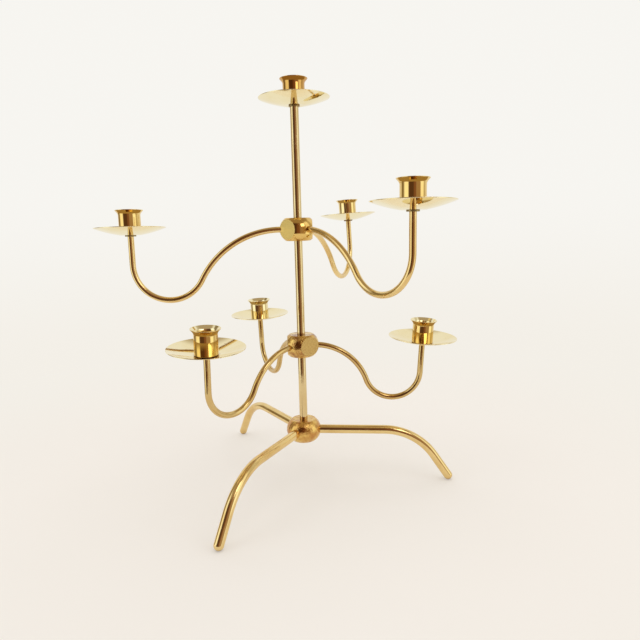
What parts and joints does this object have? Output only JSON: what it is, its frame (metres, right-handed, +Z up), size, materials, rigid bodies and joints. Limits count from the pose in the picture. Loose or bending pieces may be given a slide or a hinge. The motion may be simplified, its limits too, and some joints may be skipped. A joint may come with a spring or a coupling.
{
  "type": "candelabrum",
  "caption": "Tiered brass table candelabrum: bent legs and a centre rod carry swivelling tiers of S-shaped arms that end in drip pans and flared candle cups.",
  "frame": {"origin": "on the table top, straight under the centre rod", "axes": "+Z up along the centre rod; -Y towards the front; +X to the viewer's right"},
  "size_m": [0.4298, 0.4045, 0.4857],
  "materials": {
    "polished_brass": "polished and lacquered, with fine handling marks",
    "satin_brass": "satin",
    "plain_brass": "as turned, a little dull"
  },
  "bodies": {
    "stand": {"cup_top": "polished_brass", "knuckle_base": "polished_brass", "leg_back": "polished_brass", "leg_front": "polished_brass", "leg_right": "polished_brass", "nut_base": "plain_brass", "pan_top": "polished_brass", "rod_lower": "polished_brass", "rod_middle": "polished_brass", "rod_upper": "polished_brass", "screw_top": "plain_brass", "washer_top": "satin_brass"},
    "lower_tier": {"arm_lower_back": "polished_brass", "arm_lower_front": "polished_brass", "arm_lower_right": "polished_brass", "cup_lower_back": "polished_brass", "cup_lower_front": "polished_brass", "cup_lower_right": "polished_brass", "knuckle_lower": "polished_brass", "pan_lower_back": "polished_brass", "pan_lower_front": "polished_brass", "pan_lower_right": "polished_brass", "screw_lower_back": "plain_brass", "screw_lower_front": "plain_brass", "screw_lower_right": "plain_brass", "washer_lower_back": "satin_brass", "washer_lower_front": "satin_brass", "washer_lower_right": "satin_brass"},
    "upper_tier": {"arm_upper_back": "polished_brass", "arm_upper_left": "polished_brass", "arm_upper_right": "polished_brass", "cup_upper_back": "polished_brass", "cup_upper_left": "polished_brass", "cup_upper_right": "polished_brass", "knuckle_upper": "polished_brass", "pan_upper_back": "polished_brass", "pan_upper_left": "polished_brass", "pan_upper_right": "polished_brass", "screw_upper_back": "plain_brass", "screw_upper_left": "plain_brass", "screw_upper_right": "plain_brass", "washer_upper_back": "satin_brass", "washer_upper_left": "satin_brass", "washer_upper_right": "satin_brass"}
  },
  "joints": [
    {"name": "lower_tier_swivel", "type": "hinge", "parent": "stand", "child": "lower_tier", "pos_m": [0, 0, 0.174], "axis": [0, 0, 1], "continuous": true},
    {"name": "upper_tier_swivel", "type": "hinge", "parent": "stand", "child": "upper_tier", "pos_m": [0, 0, 0.3155], "axis": [0, 0, 1], "continuous": true}
  ]
}
